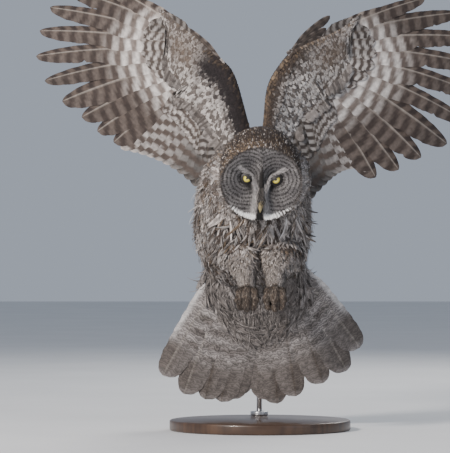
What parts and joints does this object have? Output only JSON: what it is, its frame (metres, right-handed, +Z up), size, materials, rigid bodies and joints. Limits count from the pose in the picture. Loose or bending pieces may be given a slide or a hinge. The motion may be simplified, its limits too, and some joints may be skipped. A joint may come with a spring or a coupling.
{
  "type": "great grey owl model on a display stand",
  "caption": "Life-size great grey owl braking in flight, wings raised, tail fanned and feet drawn up, on a round base with one leaning rod",
  "frame": {"origin": "middle of the stand base's underside", "axes": "+Z up, the bird faces -Y, +X is the bird's left"},
  "size_m": [0.9645, 0.4498, 0.9457],
  "materials": {
    "body_plumage": "matte",
    "face_plumage": "matte",
    "leg_plumage": "matte",
    "wing_plumage": "matte",
    "eye": "gloss",
    "bill": "satin",
    "claw": "satin",
    "base_wood": "satin",
    "stand_metal": "satin"
  },
  "bodies": {
    "root": {"head": "face_plumage", "eye_right": "eye", "eye_left": "eye", "bill_upper": "bill", "bill_lower": "bill", "neck": "body_plumage", "trunk": "body_plumage", "thigh_right": "leg_plumage", "tarsus_right": "leg_plumage", "foot_right": "leg_plumage", "claw_right_1": "claw", "claw_right_2": "claw", "claw_right_3": "claw", "claw_right_4": "claw", "wing_right_arm": "wing_plumage", "wing_right_hand": "wing_plumage", "wing_right_alula": "wing_plumage", "thigh_left": "leg_plumage", "tarsus_left": "leg_plumage", "foot_left": "leg_plumage", "claw_left_1": "claw", "claw_left_2": "claw", "claw_left_3": "claw", "claw_left_4": "claw", "wing_left_arm": "wing_plumage", "wing_left_hand": "wing_plumage", "wing_left_alula": "wing_plumage", "tail": "wing_plumage", "stand_base": "base_wood", "stand_collar": "stand_metal", "stand_rod": "stand_metal"}
  },
  "joints": []
}
